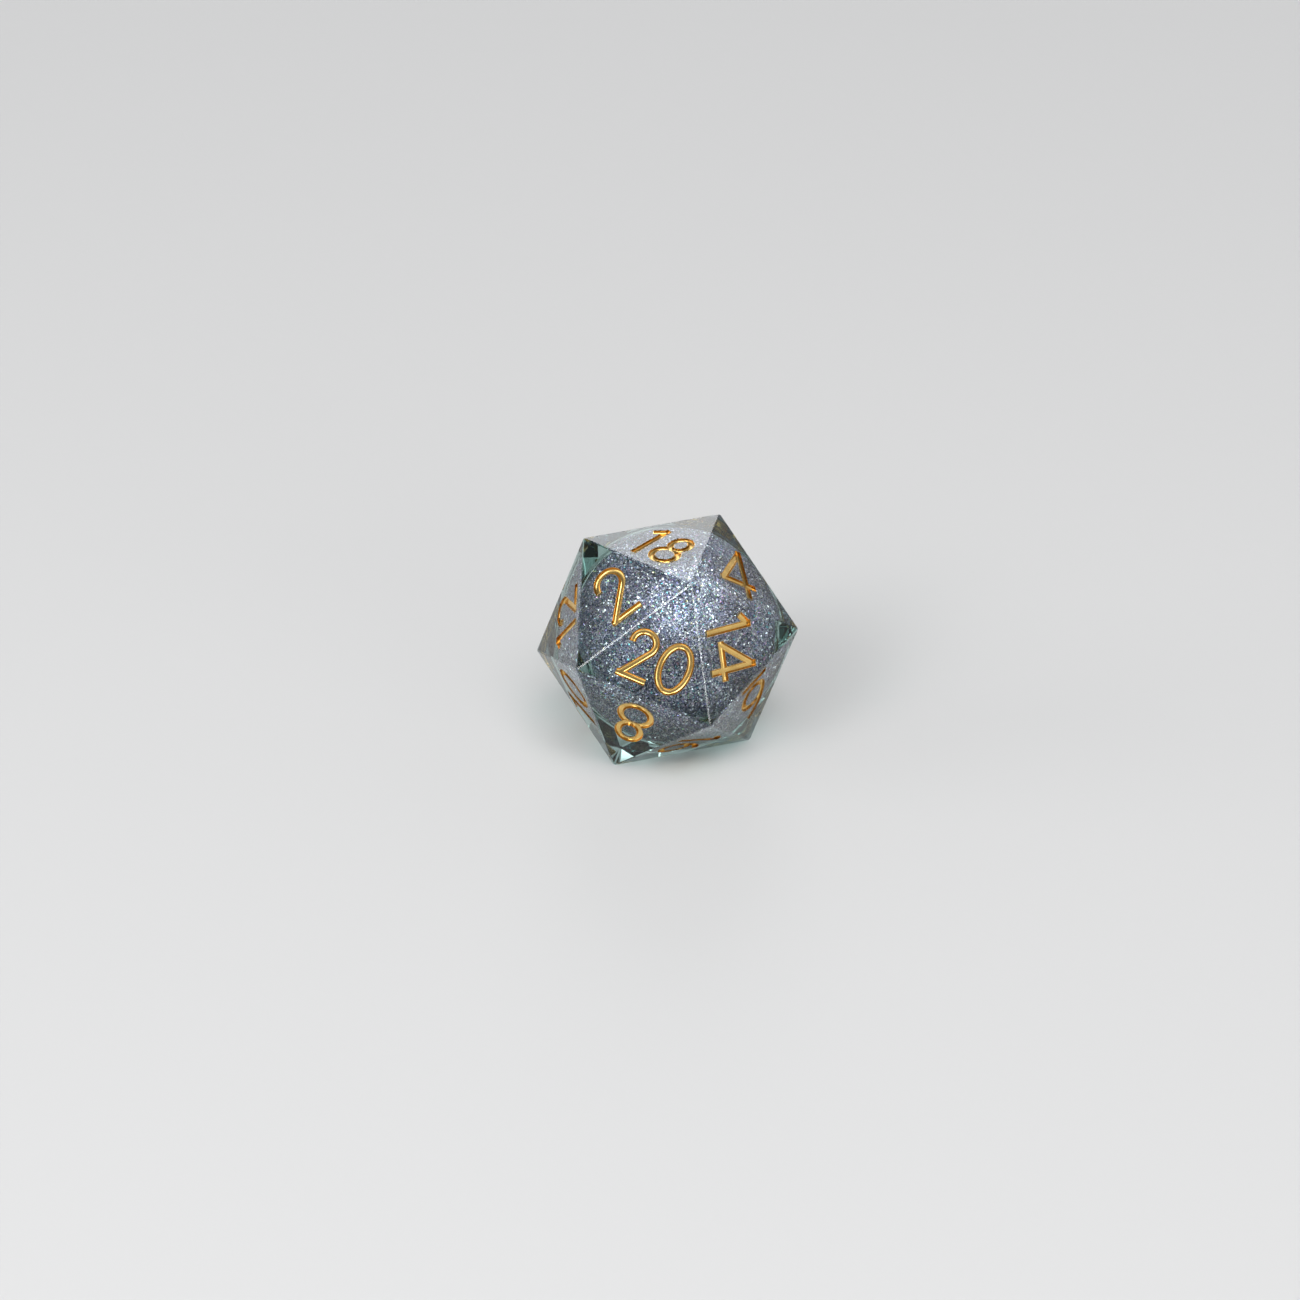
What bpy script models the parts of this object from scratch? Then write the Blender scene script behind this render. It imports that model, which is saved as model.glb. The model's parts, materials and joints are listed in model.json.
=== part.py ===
"""Twenty-sided liquid-core die: clear resin cast in two pours round a sealed ball of glitter liquid.

Metres, +Z up. The die stands on the face that reads 3. The origin is the middle of that face, and +X
points to a corner of the six-cornered plan.
"""
import math

import bmesh
import bpy
from mathutils import Matrix, Vector

# Clear casting
FACE_TO_FACE = 0.022
EDGE_BREAK = 0.0001
CASTING_WALL = 0.0020
POUR_GAP = 0.00004
SEAT_GAP = 0.00004

# Hollow ball and its fill port
CORE_SHIFT = 0.0006
CORE_SETBACK = 0.0008
CORE_LIFT = 0.0004
CORE_WALL = 0.0004
LIP_HEIGHT = 0.0006
LAP_GAP = 0.00004
PORT_DIAMETER = 0.0016
PLUG_GAP = 0.00003
PLUG_HEAD_DIAMETER = 0.0028
PLUG_HEAD_HEIGHT = 0.0004
LIQUID_GAP = 0.00003
BALL_SEGMENTS = 24

# Engraved numerals and their inlays
SINGLE_MARGIN = 0.001
PAIR_MARGIN = 0.0014
SINGLE_LIFT = 0.0005
PAIR_DROP = 0.0003
DIGIT_GAP = 0.00035
ONE_BEARING = 0.0004
STROKE_WIDTH = 0.00072
GROOVE_DEPTH = 0.00055
GROOVE_FLOOR = 0.00046
INLAY_GAP = 0.00002
INLAY_FILM = 0.0001
INLAY_RECESS = 0.00003
UNDERLINE_GAP = 0.00025
CUTTER_RISE = 0.0004
WELD = 1e-7
ARC_STEP = math.radians(22.5)

# Width of each digit as a share of its own height
DIGIT_ASPECT = {
    "0": 0.66, "1": 0.31, "2": 0.56, "3": 0.56, "4": 0.73,
    "5": 0.57, "6": 0.60, "7": 0.56, "8": 0.61, "9": 0.60,
}

# Corner rings: T top face, U upper belt, L lower belt, B bottom face, then the azimuth in degrees.
# Each number lists its face's corners, first the one that the top of the numeral points to.
NUMBERED_FACES = {
    1: ("B120", "L60", "U120"), 2: ("T180", "U240", "T300"), 3: ("B240", "B0", "B120"),
    4: ("T60", "T300", "U0"), 5: ("T180", "U120", "T60"), 6: ("B0", "U0", "L300"),
    7: ("L180", "B120", "U120"), 8: ("B240", "L300", "U240"), 9: ("U0", "B0", "L60"),
    10: ("L180", "B240", "U240"), 11: ("U0", "L60", "T60"), 12: ("L180", "U240", "T180"),
    13: ("T60", "L60", "U120"), 14: ("U0", "T300", "L300"), 15: ("T180", "U120", "L180"),
    16: ("B0", "L300", "B240"), 17: ("B240", "B120", "L180"), 18: ("T60", "T180", "T300"),
    19: ("B0", "B120", "L60"), 20: ("T300", "U240", "L300"),
}
UNDERLINED = (6, 9)

# Sizes that follow from the ones above
GOLDEN = (1 + math.sqrt(5)) / 2
INRADIUS = FACE_TO_FACE / 2
EDGE = FACE_TO_FACE * math.sqrt(3) / GOLDEN ** 2
FACE_INRADIUS = EDGE / (2 * math.sqrt(3))
CORE_CENTRE = Vector((CORE_SHIFT, CORE_SETBACK, INRADIUS + CORE_LIFT))
SEAT_RADIUS = INRADIUS - CASTING_WALL
CORE_RADIUS = SEAT_RADIUS - SEAT_GAP
BORE_RADIUS = CORE_RADIUS - CORE_WALL
LAP_RADIUS = (CORE_RADIUS + BORE_RADIUS) / 2
FACET_SHRINK = math.cos(math.pi / BALL_SEGMENTS) ** 2
LIQUID_RADIUS = BORE_RADIUS * FACET_SHRINK - LIQUID_GAP
PORT_RADIUS = PORT_DIAMETER / 2
PORT_LATITUDE = -math.degrees(math.acos(PORT_RADIUS / CORE_RADIUS))
PLUG_SEAT = math.sqrt(CORE_RADIUS ** 2 - PORT_RADIUS ** 2)

CLEAR_RESIN = ("clear_resin", (0.80, 0.88, 0.88, 0.25), 0.03, 0.0)
BALL_PLASTIC = ("clear_ball_plastic", (0.85, 0.88, 0.90, 0.25), 0.08, 0.0)
GLITTER = ("glitter_liquid", (0.08, 0.09, 0.14, 1.0), 0.25, 0.6)
GOLD_PAINT = ("gold_paint", (0.60, 0.36, 0.08, 1.0), 0.28, 1.0)


def clear_scene():
    for scene_object in list(bpy.data.objects):
        bpy.data.objects.remove(scene_object, do_unlink=True)


def new_collection(name):
    collection = bpy.data.collections.new(name)
    bpy.context.scene.collection.children.link(collection)
    return collection


def finish_material(finish):
    """Principled material from a finish: name, colour with alpha, roughness and metallic."""
    name, colour, roughness, metallic = finish
    material = bpy.data.materials.get(name)
    if material is None:
        material = bpy.data.materials.new(name)
        material.use_nodes = True
        shader = material.node_tree.nodes["Principled BSDF"]
        shader.inputs["Base Color"].default_value = colour[:3] + (1.0,)
        shader.inputs["Alpha"].default_value = colour[3]
        shader.inputs["Roughness"].default_value = roughness
        shader.inputs["Metallic"].default_value = metallic
        material.diffuse_color = colour
    return material


def mesh_object(name, working_mesh, collection):
    mesh = bpy.data.meshes.new(name)
    working_mesh.to_mesh(mesh)
    working_mesh.free()
    new_object = bpy.data.objects.new(name, mesh)
    collection.objects.link(new_object)
    return new_object


def make_cutter(cutter):
    cutter.hide_render = True
    cutter.display_type = "WIRE"


def boolean(target, operation, other=None, group=None, solver="EXACT"):
    modifier = target.modifiers.new(operation.lower(), "BOOLEAN")
    modifier.operation = operation
    modifier.solver = solver
    if group is None:
        modifier.object = other
    else:
        modifier.operand_type = "COLLECTION"
        modifier.collection = group


def evaluated_mesh(source):
    """The object's mesh with its modifiers or bevel applied."""
    graph = bpy.context.evaluated_depsgraph_get()
    mesh = bpy.data.meshes.new_from_object(source.evaluated_get(graph))
    working_mesh = bmesh.new()
    working_mesh.from_mesh(mesh)
    bpy.data.meshes.remove(mesh)
    return working_mesh


# The die's blank


def corner_points():
    """The twelve corners by name, with the die standing on a face."""
    face_ring = EDGE / math.sqrt(3)
    belt_ring = face_ring * GOLDEN
    belt_rise = INRADIUS / GOLDEN ** 3
    rings = {
        "T": (face_ring, FACE_TO_FACE, 60), "U": (belt_ring, INRADIUS + belt_rise, 0),
        "L": (belt_ring, INRADIUS - belt_rise, 60), "B": (face_ring, 0, 0),
    }
    corners = {}
    for letter, (radius, height, first) in rings.items():
        for azimuth in range(first, 360, 120):
            turn = math.radians(azimuth)
            x, y = radius * math.cos(turn), radius * math.sin(turn)
            corners[f"{letter}{azimuth}"] = Vector((x, y, height))
    return corners


def die_blank():
    """Solid icosahedron with its sharp edges just broken."""
    working_mesh = bmesh.new()
    for point in corner_points().values():
        working_mesh.verts.new(point)
    bmesh.ops.convex_hull(working_mesh, input=working_mesh.verts)
    bmesh.ops.bevel(
        working_mesh, geom=working_mesh.edges[:], offset=EDGE_BREAK, segments=1, profile=0.5, affect="EDGES"
    )
    bmesh.ops.recalc_face_normals(working_mesh, faces=working_mesh.faces)
    return working_mesh


def face_frame(corner_names):
    """Matrix of a face: x to the right of its numeral, y to the numeral's top, z out of the die."""
    corners = corner_points()
    top, second, third = (corners[name] for name in corner_names)
    middle = (top + second + third) / 3
    outward = (middle - Vector((0, 0, INRADIUS))).normalized()
    upward = (top - middle).normalized()
    rightward = upward.cross(outward)
    frame = Matrix((rightward, upward, outward)).transposed().to_4x4()
    frame.translation = middle
    return frame


# Numerals: centre lines of the strokes of each digit, in a box of the digit's width and height


def arc(centre, radius_x, radius_y, start, end):
    """Points along an ellipse from one angle to another, in degrees, either way round."""
    sweep = math.radians(end - start)
    steps = max(2, math.ceil(abs(sweep) / ARC_STEP - 1e-6))
    angles = [math.radians(start) + sweep * step / steps for step in range(steps + 1)]
    return [(centre[0] + radius_x * math.cos(a), centre[1] + radius_y * math.sin(a)) for a in angles]


def loop(centre, radius_x, radius_y):
    return arc(centre, radius_x, radius_y, 90, 450)[:-1]


def digit_strokes(digit, width, height):
    """Strokes of a digit as (points, closed)."""
    half = STROKE_WIDTH / 2
    left, right, base, top = half, width - half, half, height - half
    across, tall = right - left, top - base
    middle = width / 2
    if digit == "0":
        return [(loop((middle, height / 2), across / 2, tall / 2), True)]
    if digit == "1":
        flag_end = (0.8 * left, top - 0.9 * across)
        return [([(right, 0), (right, height)], False), ([(right, top), flag_end], False)]
    if digit == "2":
        bowl = across / 2
        rise = tall - bowl
        lean = math.atan2(rise, bowl) - math.asin(bowl / math.hypot(bowl, rise))
        hook = arc((middle, top - bowl), bowl, bowl, 190, math.degrees(lean) - 90)
        return [(hook + [(left, base)], False), ([(0, base), (width, base)], False)]
    if digit == "3":
        upper, lower = 0.24 * tall, 0.26 * tall
        upper_half, upper_middle = 0.44 * across, middle - 0.03 * across
        waist_end = (middle - 0.22 * across, top - 2 * upper)
        upper_bowl = arc((upper_middle, top - upper), upper_half, upper, 155, -90)
        lower_bowl = arc((middle, base + lower), across / 2, lower, 90, -155)
        return [(upper_bowl + [waist_end], False), (lower_bowl, False)]
    if digit == "4":
        stem, bar = left + 0.78 * across, base + 0.25 * tall
        return [
            ([(stem, 0), (stem, height)], False),
            ([(stem, top), (left, bar)], False),
            ([(0, bar), (width, bar)], False),
        ]
    if digit == "5":
        bowl_rise, stem, bar_end = 0.31 * tall, left + 0.16 * across, width - 0.6 * half
        bowl = arc((middle, base + bowl_rise), across / 2, bowl_rise, 140, -150)
        return [
            (bowl, False),
            ([(stem, top), bowl[0]], False),
            ([(stem - half, top), (bar_end, top)], False),
        ]
    if digit in "69":
        bowl, sweep = 0.3 * tall, 0.95 * across
        strokes = [
            (loop((middle, base + bowl), across / 2, bowl), True),
            (arc((left + sweep, base + bowl), sweep, tall - bowl, 180, 105), False),
        ]
        if digit == "6":
            return strokes
        return [([(width - x, height - y) for x, y in points], closed) for points, closed in strokes]
    if digit == "7":
        turn, foot = right - 0.1 * half, left + 0.25 * across
        return [([(0, top), (width, top)], False), ([(turn, top), (foot, 0)], False)]
    lower, upper, upper_half = 0.265 * tall, 0.235 * tall, 0.36 * across
    return [
        (loop((middle, base + lower), across / 2, lower), True),
        (loop((middle, top - upper), upper_half, upper), True),
    ]


def numeral_layout(number):
    """Digits of a face as (node name, strokes, left, bottom), placed about the face's middle."""
    digits = str(number)
    margin = SINGLE_MARGIN if len(digits) == 1 else PAIR_MARGIN
    height = 2 * (FACE_INRADIUS - margin)
    widths = [DIGIT_ASPECT[digit] * height for digit in digits]
    gap = DIGIT_GAP + ONE_BEARING * ("1" in digits)
    left = -(sum(widths) + gap * (len(digits) - 1)) / 2
    bottom = -height / 2 + (SINGLE_LIFT if len(digits) == 1 else -PAIR_DROP)
    suffixes = [""] if len(digits) == 1 else ["_tens", "_units"]
    layout = []
    for digit, width, suffix in zip(digits, widths, suffixes):
        layout.append((f"digit_{number}{suffix}", digit_strokes(digit, width, height), left, bottom))
        left += width + gap
    if number in UNDERLINED:
        drop = UNDERLINE_GAP + STROKE_WIDTH / 2
        bar = [([(0, -drop), (widths[0], -drop)], False)]
        layout.append((f"underline_{number}", bar, -widths[0] / 2, bottom))
    return layout


def groove_section(top, inset):
    """Section of a stroke from a height above the face down to the floor, inset from the groove's walls."""
    flare = (STROKE_WIDTH - GROOVE_FLOOR) / 2 / GROOVE_DEPTH
    floor = -GROOVE_DEPTH + inset
    half_top = STROKE_WIDTH / 2 + flare * top - inset
    half_floor = STROKE_WIDTH / 2 + flare * floor - inset
    curve = bpy.data.curves.new("groove_section", "CURVE")
    curve.dimensions = "2D"
    spline = curve.splines.new("POLY")
    outline = [(-half_top, top), (-half_floor, floor), (half_floor, floor), (half_top, top)]
    spline.points.add(len(outline) - 1)
    for point, (across, height) in zip(spline.points, outline):
        point.co = (across, height, 0, 1)
    spline.use_cyclic_u = True
    section = bpy.data.objects.new("groove_section", curve)
    return section


def lengthened(points, amount):
    """Open stroke with both ends moved outwards by an amount."""
    moved = [Vector(point) for point in points]
    start = moved[0] + (moved[0] - moved[1]).normalized() * amount
    end = moved[-1] + (moved[-1] - moved[-2]).normalized() * amount
    return [start] + moved[1:-1] + [end]


def swept_strokes(strokes, left, bottom, section, end_length):
    """One solid from all strokes of a digit, swept with a section in the face's own plane."""
    scene_objects = bpy.context.scene.collection.objects
    swept = []
    scene_objects.link(section)
    for points, closed in strokes:
        path = points if closed else lengthened(points, end_length)
        curve = bpy.data.curves.new("stroke", "CURVE")
        curve.dimensions = "3D"
        curve.twist_mode = "Z_UP"
        curve.bevel_mode = "OBJECT"
        curve.bevel_object = section
        curve.use_fill_caps = True
        spline = curve.splines.new("POLY")
        spline.points.add(len(path) - 1)
        for point, (x, y) in zip(spline.points, path):
            point.co = (left + x, bottom + y, 0, 1)
        spline.use_cyclic_u = closed
        sweep = bpy.data.objects.new("stroke", curve)
        scene_objects.link(sweep)
        working_mesh = evaluated_mesh(sweep)
        bmesh.ops.remove_doubles(working_mesh, verts=working_mesh.verts, dist=WELD)
        bmesh.ops.recalc_face_normals(working_mesh, faces=working_mesh.faces)
        bpy.data.objects.remove(sweep)
        swept.append(mesh_object("stroke", working_mesh, bpy.context.scene.collection))
    bpy.data.objects.remove(section)
    solid = swept[0]
    for other in swept[1:]:
        boolean(solid, "UNION", other, solver="MANIFOLD")
    working_mesh = evaluated_mesh(solid)
    for stroke in swept:
        bpy.data.objects.remove(stroke)
    return working_mesh


def numeral_pieces(parts, cutters):
    """Gold inlay and groove cutter for every digit and underline."""
    for number, corner_names in NUMBERED_FACES.items():
        frame = face_frame(corner_names)
        for name, strokes, left, bottom in numeral_layout(number):
            place = (strokes, left, bottom)
            groove = swept_strokes(*place, groove_section(CUTTER_RISE, 0), 0)
            cutter = mesh_object(f"groove_{name}", groove, cutters)
            cutter.matrix_world = frame
            make_cutter(cutter)
            body = swept_strokes(*place, groove_section(-INLAY_RECESS, INLAY_GAP), -INLAY_GAP)
            inlay = mesh_object(name, body, parts)
            hollow = swept_strokes(
                *place, groove_section(CUTTER_RISE, INLAY_GAP + INLAY_FILM), -INLAY_GAP - INLAY_FILM
            )
            relief = mesh_object("relief", hollow, parts)
            boolean(inlay, "DIFFERENCE", relief, solver="MANIFOLD")
            dished = evaluated_mesh(inlay)
            inlay.modifiers.clear()
            dished.to_mesh(inlay.data)
            dished.free()
            bpy.data.objects.remove(relief)
            inlay.matrix_world = frame
            inlay.data.materials.append(finish_material(GOLD_PAINT))


# Ball, plug and liquid, turned about the ball's upright axis


def ball_arc(radius, start, end):
    """Profile points of a sphere between two latitudes in degrees, on the ball's facet spacing."""
    steps = max(2, math.ceil(abs(end - start) / (360 / BALL_SEGMENTS) - 1e-6))
    latitudes = [math.radians(start + (end - start) * step / steps) for step in range(steps + 1)]
    return [(radius * math.cos(latitude), radius * math.sin(latitude)) for latitude in latitudes]


def turned_piece(name, profile, collection, closed=False):
    """Solid of revolution about the ball's upright axis from (radius, height) points."""
    working_mesh = bmesh.new()
    verts = [working_mesh.verts.new((radius, 0, height)) for radius, height in profile]
    for first, second in zip(verts, verts[1:]):
        working_mesh.edges.new((first, second))
    if closed:
        working_mesh.edges.new((verts[-1], verts[0]))
    piece = mesh_object(name, working_mesh, collection)
    piece.location = CORE_CENTRE
    screw = piece.modifiers.new("turn", "SCREW")
    screw.axis = "Z"
    screw.angle = 2 * math.pi
    screw.steps = BALL_SEGMENTS
    screw.render_steps = BALL_SEGMENTS
    screw.use_merge_vertices = True
    screw.merge_threshold = 1e-6
    return piece


def plug_profile(gap):
    """Headed plug, or with a gap all round it the pocket that it needs in the casting."""
    pin = PORT_RADIUS - PLUG_GAP
    head = PLUG_HEAD_DIAMETER / 2 + gap
    seat = -PLUG_SEAT - PLUG_GAP + gap
    foot = -PLUG_SEAT - PLUG_GAP - PLUG_HEAD_HEIGHT - gap
    tip = -PLUG_SEAT + CORE_WALL
    return [(0, tip), (pin, tip), (pin, seat), (head, seat), (head, foot), (0, foot)]


def ball_pieces(parts):
    """Two half shells with a lap joint, the plug in the fill port, and the liquid."""
    split = LAP_GAP / 2
    lip_top = LIP_HEIGHT + LAP_GAP
    upper_profile = (
        ball_arc(CORE_RADIUS, 90, 0)[:-1]
        + [(CORE_RADIUS, split), (LAP_RADIUS + split, split), (LAP_RADIUS + split, lip_top)]
        + ball_arc(BORE_RADIUS, math.degrees(math.asin(lip_top / BORE_RADIUS)), 90)
    )
    upper = turned_piece("core_upper_half", upper_profile, parts)
    lower_profile = (
        [(CORE_RADIUS, -split)]
        + ball_arc(CORE_RADIUS, 0, PORT_LATITUDE)[1:]
        + ball_arc(BORE_RADIUS, -math.degrees(math.acos(PORT_RADIUS / BORE_RADIUS)), 0)
        + [(math.sqrt(BORE_RADIUS ** 2 - LIP_HEIGHT ** 2), LIP_HEIGHT)]
        + [(LAP_RADIUS - split, LIP_HEIGHT), (LAP_RADIUS - split, -split)]
    )
    lower = turned_piece("core_lower_half", lower_profile, parts, closed=True)
    plug = turned_piece("fill_plug", plug_profile(0), parts)
    liquid = turned_piece("glitter_liquid", ball_arc(LIQUID_RADIUS, 90, -90), parts)
    for piece in (upper, lower, plug):
        piece.data.materials.append(finish_material(BALL_PLASTIC))
    liquid.data.materials.append(finish_material(GLITTER))


# Castings


def castings(parts, cutters, grooves):
    """Two pours of clear resin that meet at the height of the ball's middle."""
    seat_profile = ball_arc(SEAT_RADIUS, 90, 0) + ball_arc(SEAT_RADIUS, 0, PORT_LATITUDE)[1:]
    seat_profile.append((0, seat_profile[-1][1]))
    seat = turned_piece("ball_seat", seat_profile, cutters)
    pocket = turned_piece("plug_pocket", plug_profile(SEAT_GAP), cutters)
    for cutter in (seat, pocket):
        make_cutter(cutter)
    for name, side in (("lower_casting", 1), ("upper_casting", -1)):
        casting = mesh_object(name, die_blank(), parts)
        other_half = bmesh.new()
        bmesh.ops.create_cube(other_half, size=2 * FACE_TO_FACE)
        block = mesh_object(f"{name}_trim", other_half, cutters)
        block.location = (0, 0, CORE_CENTRE.z + side * (FACE_TO_FACE - POUR_GAP / 2))
        make_cutter(block)
        boolean(casting, "DIFFERENCE", block)
        boolean(casting, "DIFFERENCE", seat)
        if side == 1:
            boolean(casting, "DIFFERENCE", pocket)
        boolean(casting, "DIFFERENCE", group=grooves, solver="MANIFOLD")
        casting.data.materials.append(finish_material(CLEAR_RESIN))


def build():
    clear_scene()
    parts = new_collection("liquid_core_die")
    cutters = new_collection("cutters")
    grooves = new_collection("groove_cutters")
    numeral_pieces(parts, grooves)
    ball_pieces(parts)
    castings(parts, cutters, grooves)


build()
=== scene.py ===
"""Looks of the liquid-core twenty-sided die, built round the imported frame. Metres, +Z up."""

import json
import math
import random

import bmesh
import bpy
from mathutils import Matrix, Quaternion, Vector

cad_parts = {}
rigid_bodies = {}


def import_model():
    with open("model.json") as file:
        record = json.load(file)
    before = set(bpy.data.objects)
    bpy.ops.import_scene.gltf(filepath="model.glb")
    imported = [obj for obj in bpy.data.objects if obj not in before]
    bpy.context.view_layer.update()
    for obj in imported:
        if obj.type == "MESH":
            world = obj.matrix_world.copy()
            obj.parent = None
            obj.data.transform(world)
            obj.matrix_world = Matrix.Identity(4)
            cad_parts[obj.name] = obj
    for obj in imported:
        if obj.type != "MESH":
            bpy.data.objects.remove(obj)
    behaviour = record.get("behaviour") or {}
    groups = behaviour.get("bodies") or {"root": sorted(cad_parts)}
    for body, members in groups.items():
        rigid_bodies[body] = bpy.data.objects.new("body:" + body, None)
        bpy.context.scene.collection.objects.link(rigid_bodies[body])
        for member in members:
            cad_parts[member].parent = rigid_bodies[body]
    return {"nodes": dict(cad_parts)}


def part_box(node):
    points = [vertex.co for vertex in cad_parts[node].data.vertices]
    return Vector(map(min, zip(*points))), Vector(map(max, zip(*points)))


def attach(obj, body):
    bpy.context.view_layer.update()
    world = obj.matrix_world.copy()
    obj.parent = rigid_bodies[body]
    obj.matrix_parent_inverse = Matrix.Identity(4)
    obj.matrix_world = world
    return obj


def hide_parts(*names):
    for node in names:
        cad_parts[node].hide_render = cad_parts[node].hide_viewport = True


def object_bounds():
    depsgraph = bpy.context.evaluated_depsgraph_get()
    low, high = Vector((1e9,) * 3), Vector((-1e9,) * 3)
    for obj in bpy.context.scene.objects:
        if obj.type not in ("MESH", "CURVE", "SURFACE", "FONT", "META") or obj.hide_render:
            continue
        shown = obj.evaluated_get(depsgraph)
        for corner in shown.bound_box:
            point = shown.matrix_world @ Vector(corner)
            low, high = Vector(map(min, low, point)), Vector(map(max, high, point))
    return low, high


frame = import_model()
cad_low, cad_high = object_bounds()


# Glitter liquid. A dark slate-blue liquid crowded with fine holographic flakes, which settle and swirl when
# the die is turned. Its heart is a mottled pearly ball, and the flakes near the ball's wall are hexagons of
# foil. The whole filling turns inside the ball.
CORE_WALL = 0.0004
LIQUID_GAP = 0.00003
HEART_DEPTH = 0.00024
HEART_SWELL = 0.00006
HEART_SUBDIVISIONS = 6
HANDFUL = 320
FLAKE_SEED = 20
FLAKE_SIDES = 6
FLAKE_SPREAD = (0.6, 1.15)
DEEPEST_FLAKE = 0.0003
WALL_CROWDING = 1.5
liquid_low, liquid_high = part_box("glitter_liquid")
core_centre = (liquid_low + liquid_high) / 2
shell_low, shell_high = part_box("core_upper_half")
core_radius = (shell_high.x - shell_low.x) / 2
bore_radius = core_radius - CORE_WALL
liquid_radius = bore_radius - LIQUID_GAP


def new_material(name):
    """Empty node material with its output and a Principled shader joined to it."""
    material = bpy.data.materials.new(name)
    material.use_nodes = True
    nodes = material.node_tree.nodes
    return material, nodes, material.node_tree.links, nodes["Principled BSDF"]


def set_inputs(node, **values):
    """Set sockets by name, with underscores for spaces."""
    for name, value in values.items():
        node.inputs[name.replace("_", " ")].default_value = value


def add_piece(name, working_mesh, material, body):
    """Mesh object from a bmesh, with its finish, riding on its body."""
    mesh = bpy.data.meshes.new(name)
    working_mesh.to_mesh(mesh)
    working_mesh.free()
    mesh.materials.append(material)
    piece = bpy.data.objects.new(name, mesh)
    bpy.context.scene.collection.objects.link(piece)
    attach(piece, body)
    return piece


def heart_finish():
    """Slate-blue pearl with drifting lighter bands and a fine grain of glitter too small to model."""
    material, nodes, links, shader = new_material("pearl_liquid")
    set_inputs(shader, Metallic=0.55, Roughness=0.38)
    coordinates = nodes.new("ShaderNodeTexCoord")
    drift = nodes.new("ShaderNodeTexNoise")
    set_inputs(drift, Scale=260.0, Detail=5.0, Roughness=0.6, Distortion=1.6)
    links.new(coordinates.outputs["Object"], drift.inputs["Vector"])
    bands = nodes.new("ShaderNodeValToRGB")
    bands.color_ramp.elements[0].position = 0.34
    bands.color_ramp.elements[0].color = (0.040, 0.040, 0.080, 1)
    bands.color_ramp.elements[1].position = 0.72
    bands.color_ramp.elements[1].color = (0.230, 0.210, 0.340, 1)
    links.new(drift.outputs["Fac"], bands.inputs["Fac"])
    grain = nodes.new("ShaderNodeTexVoronoi")
    set_inputs(grain, Scale=9000.0)
    links.new(coordinates.outputs["Object"], grain.inputs["Vector"])
    speck = nodes.new("ShaderNodeSeparateColor")
    links.new(grain.outputs["Color"], speck.inputs["Color"])
    bright = nodes.new("ShaderNodeMapRange")
    set_inputs(bright, **{"From Min": 0.62, "From Max": 1.0, "To Min": 0.0, "To Max": 0.85})
    links.new(speck.outputs["Red"], bright.inputs["Value"])
    glint = nodes.new("ShaderNodeMix")
    glint.data_type = "RGBA"
    set_inputs(glint, B=(0.42, 0.45, 0.64, 1))
    links.new(bright.outputs["Result"], glint.inputs["Factor"])
    links.new(bands.outputs["Color"], glint.inputs["A"])
    links.new(glint.outputs["Result"], shader.inputs["Base Color"])
    facets = nodes.new("ShaderNodeBump")
    set_inputs(facets, Strength=0.6, Distance=0.00004)
    links.new(speck.outputs["Green"], facets.inputs["Height"])
    links.new(facets.outputs["Normal"], shader.inputs["Normal"])
    return material


def glitter_heart():
    """Opaque middle of the filling, with its surface swollen here and there by crowding flakes."""
    heart = bmesh.new()
    bmesh.ops.create_icosphere(heart, subdivisions=HEART_SUBDIVISIONS, radius=liquid_radius - HEART_DEPTH)
    chance = random.Random(FLAKE_SEED)
    for vert in heart.verts:
        vert.co *= 1 + HEART_SWELL / liquid_radius * chance.uniform(-1, 1)
    bmesh.ops.translate(heart, vec=core_centre, verts=heart.verts)
    for face in heart.faces:
        face.smooth = True
    return heart


def flake_finish(name, roughness):
    """Foil whose tint is cut into each flake."""
    material, nodes, links, shader = new_material(name)
    set_inputs(shader, Metallic=1.0, Roughness=roughness)
    tint = nodes.new("ShaderNodeAttribute")
    tint.attribute_name = "flake_tint"
    links.new(tint.outputs["Color"], shader.inputs["Base Color"])
    return material


def random_direction(chance):
    """Unit vector that points to any side alike."""
    return Vector([chance.gauss(0, 1) for _ in range(3)]).normalized()


def flake_cloud(handfuls, size, lean, chance):
    """Loose hexagons near the ball's wall: one handful is strewn, then copied and turned about the ball."""
    cloud = bmesh.new()
    for _ in range(HANDFUL):
        outward = random_direction(chance)
        depth = size + DEEPEST_FLAKE * chance.random() ** WALL_CROWDING
        tilt_axis = random_direction(chance)
        tilt = Quaternion(tilt_axis, chance.gauss(0, lean))
        turn = (tilt @ outward.to_track_quat("Z", "Y")).to_matrix().to_4x4()
        place = Matrix.Translation(core_centre + outward * (liquid_radius - depth)) @ turn
        reach = size * chance.uniform(*FLAKE_SPREAD)
        bmesh.ops.create_circle(cloud, cap_ends=True, segments=FLAKE_SIDES, radius=reach, matrix=place)
    strewn = cloud.verts[:] + cloud.edges[:] + cloud.faces[:]
    for _ in range(handfuls - 1):
        copy = bmesh.ops.duplicate(cloud, geom=strewn)["geom"]
        verts = [item for item in copy if isinstance(item, bmesh.types.BMVert)]
        any_turn = Quaternion([chance.gauss(0, 1) for _ in range(4)]).normalized()
        bmesh.ops.rotate(cloud, cent=core_centre, matrix=any_turn.to_matrix(), verts=verts)
    return cloud


def tint_flakes(piece, tints, chance):
    """Give every flake one of the foil's tints, each with its own share and spread of brightness."""
    shares = [share for share, low, high, colour in tints]
    attribute = piece.data.attributes.new("flake_tint", "FLOAT_COLOR", "FACE")
    values = []
    for _ in piece.data.polygons:
        share, low, high, colour = chance.choices(tints, shares)[0]
        level = chance.uniform(low, high)
        values += [level * colour[0], level * colour[1], level * colour[2], 1]
    attribute.data.foreach_set("color", values)


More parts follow.
